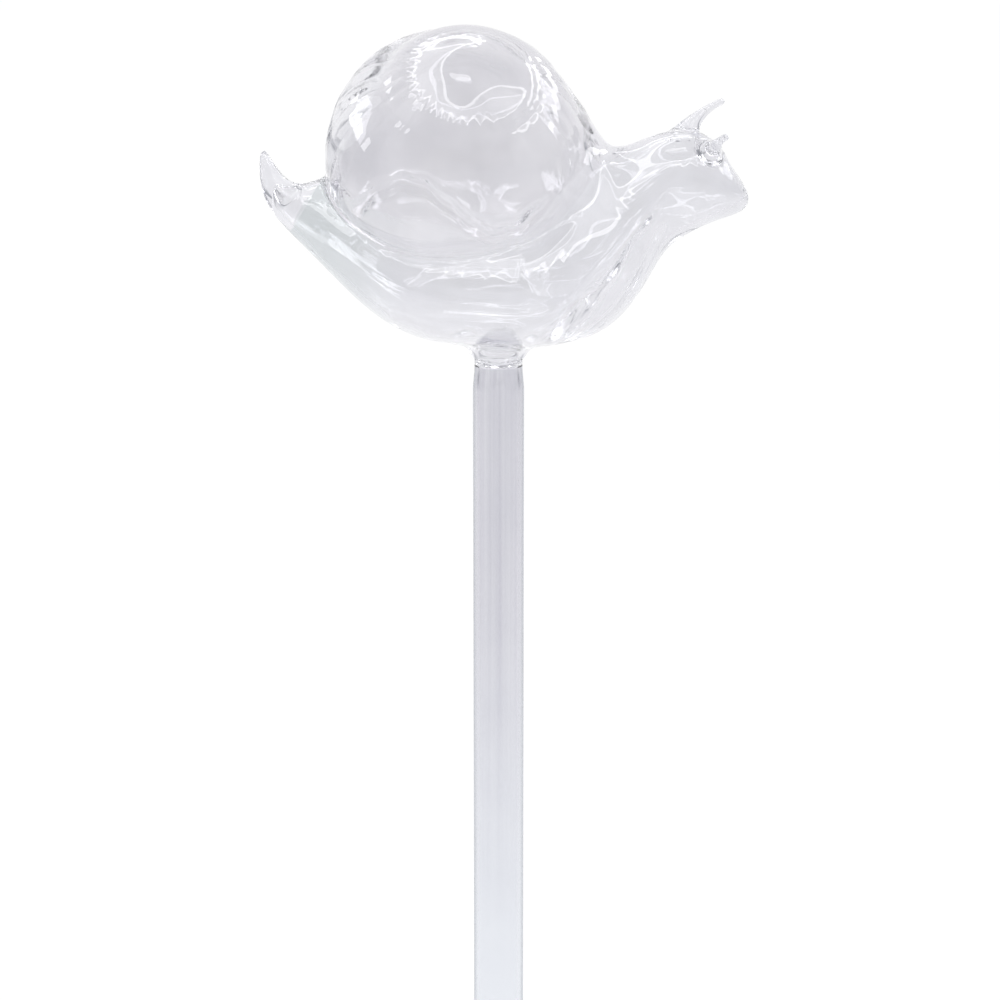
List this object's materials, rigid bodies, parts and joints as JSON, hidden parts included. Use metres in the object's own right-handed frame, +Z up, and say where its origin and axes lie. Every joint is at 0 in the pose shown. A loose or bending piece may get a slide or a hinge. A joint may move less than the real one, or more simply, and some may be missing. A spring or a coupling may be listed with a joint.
{
  "type": "watering globe",
  "caption": "Clear blown-glass watering globe shaped as a snail, with a hollow shell and body that feed water slowly down a long open stem pushed into potting soil.",
  "frame": {"origin": "centre of the stem's open lower end, where the water goes in and comes out", "axes": "+Z up the stem to the snail, +X to the snail's head, -Y to its right side"},
  "size_m": [0.1117, 0.062, 0.268],
  "materials": {
    "blown_glass": "clear blown borosilicate glass, fire polished",
    "drawn_glass": "clear solid borosilicate glass, drawn and fused on",
    "glass_tubing": "clear borosilicate tubing, fire-polished mouth"
  },
  "bodies": {
    "root": {"shell_bulb": "blown_glass", "snail_body": "blown_glass", "tail_tip": "drawn_glass", "horn_far": "drawn_glass", "horn_near": "drawn_glass", "weld_ring": "drawn_glass", "stem_tube": "glass_tubing"}
  },
  "joints": []
}
